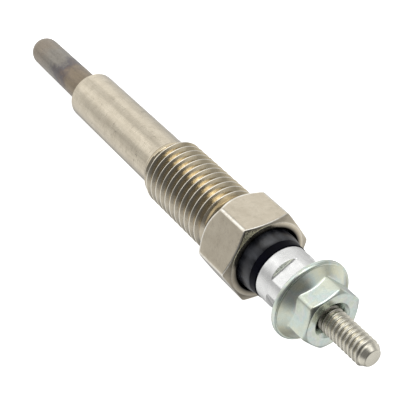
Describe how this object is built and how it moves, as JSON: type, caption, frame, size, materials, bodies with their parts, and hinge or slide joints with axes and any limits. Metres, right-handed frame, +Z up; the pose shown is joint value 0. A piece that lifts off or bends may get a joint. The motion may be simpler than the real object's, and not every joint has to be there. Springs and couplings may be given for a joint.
{
  "type": "diesel glow plug",
  "caption": "Metal-sheath diesel glow plug: heat-tinted glow tube, nickel-plated threaded body with hexagon, black insulating seal, crimped aluminium collar and flange nut on a threaded stud.",
  "frame": {"origin": "centre of the plug's footprint on the floor, under the middle of its length", "axes": "+X along the plug from the glowing tip to the terminal, +Z up from the floor it lies on; the plug's own axis is tilted about 2.8 degrees, tip down, as it rests on a hexagon flat and the rim of its shank"},
  "size_m": [0.0878, 0.0134, 0.0125],
  "materials": {
    "tinted_sheath": "ground steel sheath with heat tints",
    "coil_wire": "drawn resistance wire",
    "magnesia": "pressed insulating powder",
    "black_rubber": "smooth black rubber",
    "stud_steel": "plated steel with a rolled thread",
    "nickel_plate": "satin nickel plate over turned steel",
    "black_bush": "moulded black insulator",
    "collar_aluminium": "bright drawn aluminium",
    "zinc_plate": "zinc plate with a pale yellow and blue passivate"
  },
  "bodies": {
    "root": {"glow_tube": "tinted_sheath", "heating_coil": "coil_wire", "regulating_coil": "coil_wire", "magnesia_fill": "magnesia", "tube_seal": "black_rubber", "centre_rod": "stud_steel", "body": "nickel_plate", "rubber_seal": "black_rubber", "insulating_bush": "black_bush", "crimp_collar": "collar_aluminium", "terminal_nut": "zinc_plate"}
  },
  "joints": []
}
